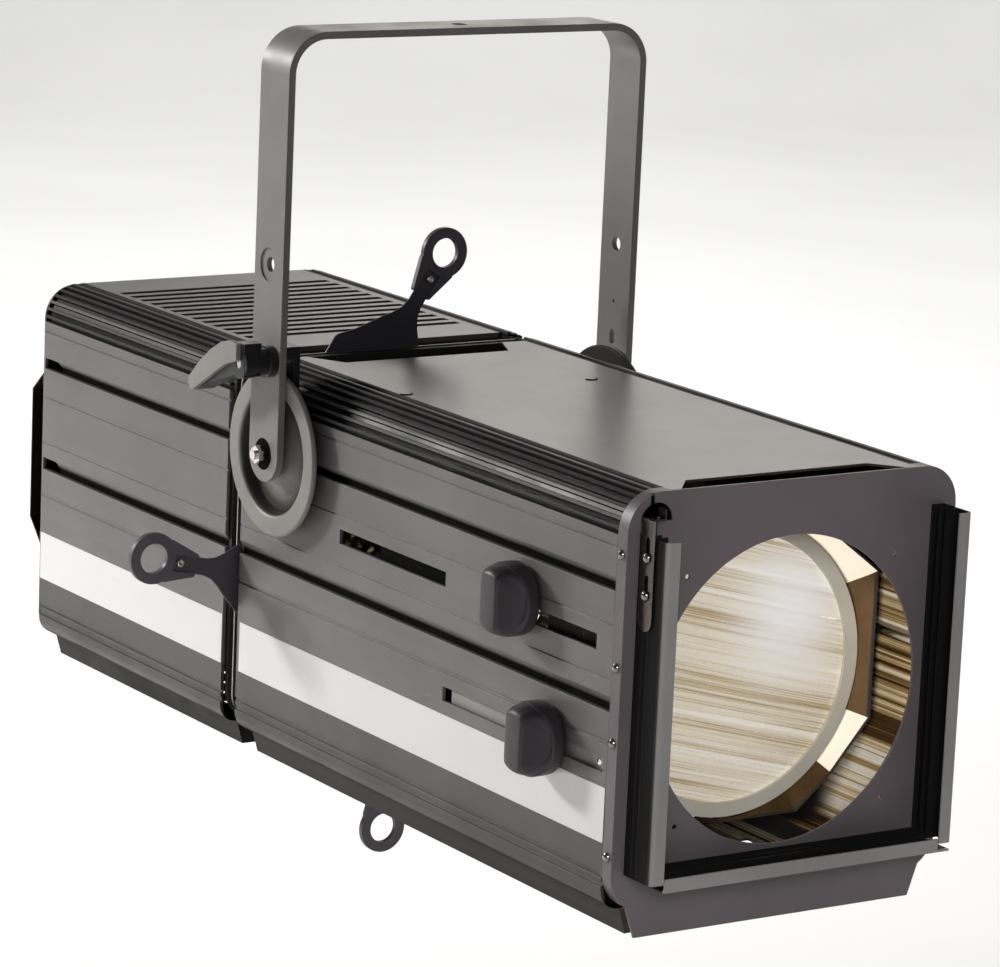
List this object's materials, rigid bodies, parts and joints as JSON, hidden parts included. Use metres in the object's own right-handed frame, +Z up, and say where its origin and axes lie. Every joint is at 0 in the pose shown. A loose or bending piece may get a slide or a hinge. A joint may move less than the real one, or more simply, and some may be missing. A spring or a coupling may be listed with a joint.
{
  "type": "ellipsoidal spotlight",
  "caption": "Long box-shaped stage profile spotlight with zoom lens tube, framing shutters and a hanging yoke; throws a hard-edged, shaped beam.",
  "frame": {"origin": "centre of the hook-bolt hole in the top face of the yoke", "axes": "+Z up along the hook bolt; -Y the way the beam leaves; X across the housing, along the tilt axis"},
  "size_m": [0.4895, 0.978, 0.7254],
  "materials": {
    "yoke_paint": "satin warm-grey powder coat",
    "black_nylon": "moulded black nylon",
    "zinc_steel": "bright zinc-plated steel",
    "clamp_black": "semi-gloss black",
    "lever_face": "satin light grey",
    "disc_paint": "satin light beige-grey enamel",
    "housing_paint": "fine satin anthracite powder coat on aluminium extrusion",
    "cover_paint": "satin anthracite powder coat on sheet",
    "base_black": "matt black",
    "front_paint": "satin anthracite powder coat on sheet",
    "runner_paint": "satin anthracite powder coat",
    "gate_black": "heat-proof matt black",
    "gate_steel": "bare steel",
    "reflector_metal": "bright anodised, faceted glow",
    "bare_aluminium": "mill finish",
    "ceramic": "glazed steatite",
    "quartz": "clear quartz",
    "lens_glass": "coated clear glass",
    "lens_ring_paint": "cream stove enamel",
    "carrier_gold": "passivated sheet, warm gold",
    "carrier_black": "matt black",
    "knob_plastic": "fine-grained charcoal phenolic",
    "latch_steel": "worn bright steel",
    "blade_steel": "heat-blued stainless",
    "handle_fibre": "heat-proof fibre, purple-grey"
  },
  "bodies": {
    "yoke": {"yoke_bar": "yoke_paint", "pivot_bushes": "black_nylon", "clamp_stud": "zinc_steel", "clamp_jaw": "clamp_black"},
    "clamp_lever": {"clamp_lever_hub": "clamp_black", "clamp_lever_plate": "lever_face"},
    "housing": {"pivot_bolts": "zinc_steel", "pivot_nuts": "zinc_steel", "tilt_discs": "disc_paint", "rear_side_left": "housing_paint", "rear_side_right": "housing_paint", "rear_top_grille": "cover_paint", "rear_bottom_box": "base_black", "front_side_left": "housing_paint", "front_side_right": "housing_paint", "front_top_cover": "cover_paint", "front_bottom_box": "base_black", "front_cap": "front_paint", "frame_runner_left": "runner_paint", "frame_runner_right": "runner_paint", "frame_runner_bottom": "runner_paint", "front_screws": "zinc_steel", "gate_front_plate": "gate_black", "gate_divider": "gate_steel", "gate_rear_plate": "gate_black", "gate_spacers": "zinc_steel", "guide_rods": "zinc_steel", "reflector": "reflector_metal", "reflector_bracket": "bare_aluminium", "door_hinge_pin": "zinc_steel", "cable_gland": "black_nylon"},
    "rear_door": {"rear_door": "housing_paint", "rear_baffle": "base_black"},
    "lamp_slide": {"lamp_carriage": "bare_aluminium", "lampholder": "ceramic", "lamp": "quartz"},
    "lamp_knob": {"lamp_adjust_knob": "knob_plastic"},
    "front_lens_slide": {"front_lens_carrier": "carrier_gold", "front_lens": "lens_glass", "front_lens_ring": "lens_ring_paint", "front_lens_rail": "bare_aluminium"},
    "rear_lens_slide": {"rear_lens_carrier": "carrier_black", "rear_lens": "lens_glass", "rear_lens_ring": "carrier_black", "rear_lens_rail": "carrier_black"},
    "focus_knob": {"focus_knob": "knob_plastic"},
    "zoom_knob": {"zoom_knob": "knob_plastic"},
    "frame_latch": {"frame_latch": "latch_steel"},
    "shutter_swivel_left": {"shutter_pin_left": "zinc_steel"},
    "shutter_left": {"shutter_blade_left": "blade_steel", "shutter_handle_left": "handle_fibre"},
    "shutter_swivel_top": {"shutter_pin_top": "zinc_steel"},
    "shutter_top": {"shutter_blade_top": "blade_steel", "shutter_handle_top": "handle_fibre"},
    "shutter_swivel_right": {"shutter_pin_right": "zinc_steel"},
    "shutter_right": {"shutter_blade_right": "blade_steel", "shutter_handle_right": "handle_fibre"},
    "shutter_swivel_bottom": {"shutter_pin_bottom": "zinc_steel"},
    "shutter_bottom": {"shutter_blade_bottom": "blade_steel", "shutter_handle_bottom": "handle_fibre"}
  },
  "joints": [
    {"name": "yoke_tilt", "type": "hinge", "parent": "yoke", "child": "housing", "pos_m": [0, 0, -0.344], "axis": [1, 0, 0], "range_deg": [-70, 70]},
    {"name": "clamp_lever_turn", "type": "hinge", "parent": "yoke", "child": "clamp_lever", "pos_m": [-0.188, -0.009, -0.266], "axis": [1, 0, 0], "range_deg": [0, 100]},
    {"name": "focus_slide", "type": "slide", "parent": "housing", "child": "front_lens_slide", "axis": [0, 1, 0], "range_m": [-0.014, 0.08]},
    {"name": "zoom_slide", "type": "slide", "parent": "housing", "child": "rear_lens_slide", "axis": [0, 1, 0], "range_m": [-0.08, 0.052]},
    {"name": "focus_knob_turn", "type": "hinge", "parent": "front_lens_slide", "child": "focus_knob", "pos_m": [-0.168, -0.401, -0.4835], "axis": [1, 0, 0], "range_deg": [0, 180]},
    {"name": "zoom_knob_turn", "type": "hinge", "parent": "rear_lens_slide", "child": "zoom_knob", "pos_m": [-0.168, -0.359, -0.3916], "axis": [1, 0, 0], "range_deg": [0, 180]},
    {"name": "frame_latch_slide", "type": "slide", "parent": "housing", "child": "frame_latch", "axis": [0, 0, 1], "range_m": [-0.01, 0.002]},
    {"name": "rear_door_swing", "type": "hinge", "parent": "housing", "child": "rear_door", "pos_m": [0.1545, 0.427, -0.439], "axis": [0, 0, -1], "range_deg": [0, 110]},
    {"name": "lamp_knob_turn", "type": "hinge", "parent": "housing", "child": "lamp_knob", "pos_m": [0, 0.433, -0.605], "axis": [0, 1, 0], "range_deg": [-756, 756]},
    {"name": "lamp_focus_slide", "type": "slide", "parent": "housing", "child": "lamp_slide", "axis": [0, 1, 0], "range_m": [-0.004, 0.004]},
    {"name": "shutter_left_swivel", "type": "hinge", "parent": "housing", "child": "shutter_swivel_left", "pos_m": [-0.0725, 0.0756, -0.4794], "axis": [0, 1, 0], "range_deg": [-33, 6]},
    {"name": "shutter_left_slide", "type": "slide", "parent": "shutter_swivel_left", "child": "shutter_left", "axis": [0.9724, 0, -0.2334], "range_m": [0, 0.055]},
    {"name": "shutter_top_swivel", "type": "hinge", "parent": "housing", "child": "shutter_swivel_top", "pos_m": [-0.0392, 0.0848, -0.3382], "axis": [0, 1, 0], "range_deg": [-66, 2]},
    {"name": "shutter_top_slide", "type": "slide", "parent": "shutter_swivel_top", "child": "shutter_top", "axis": [-0.5446, 0, -0.8387], "range_m": [0, 0.055]},
    {"name": "shutter_right_swivel", "type": "hinge", "parent": "housing", "child": "shutter_swivel_right", "pos_m": [0.06, 0.079, -0.421], "axis": [0, 1, 0], "range_deg": [-12, 28]},
    {"name": "shutter_right_slide", "type": "slide", "parent": "shutter_swivel_right", "child": "shutter_right", "axis": [-0.9903, 0, -0.1392], "range_m": [0, 0.055]},
    {"name": "shutter_bottom_swivel", "type": "hinge", "parent": "housing", "child": "shutter_swivel_bottom", "pos_m": [0.0032, 0.088, -0.509], "axis": [0, 1, 0], "range_deg": [-18, 22]},
    {"name": "shutter_bottom_slide", "type": "slide", "parent": "shutter_swivel_bottom", "child": "shutter_bottom", "axis": [-0.0349, 0, 0.9994], "range_m": [0, 0.055]}
  ],
  "couplings": [
    {"joint": "lamp_knob_turn", "follows": "lamp_focus_slide", "rad_per_m": 3141.6}
  ]
}
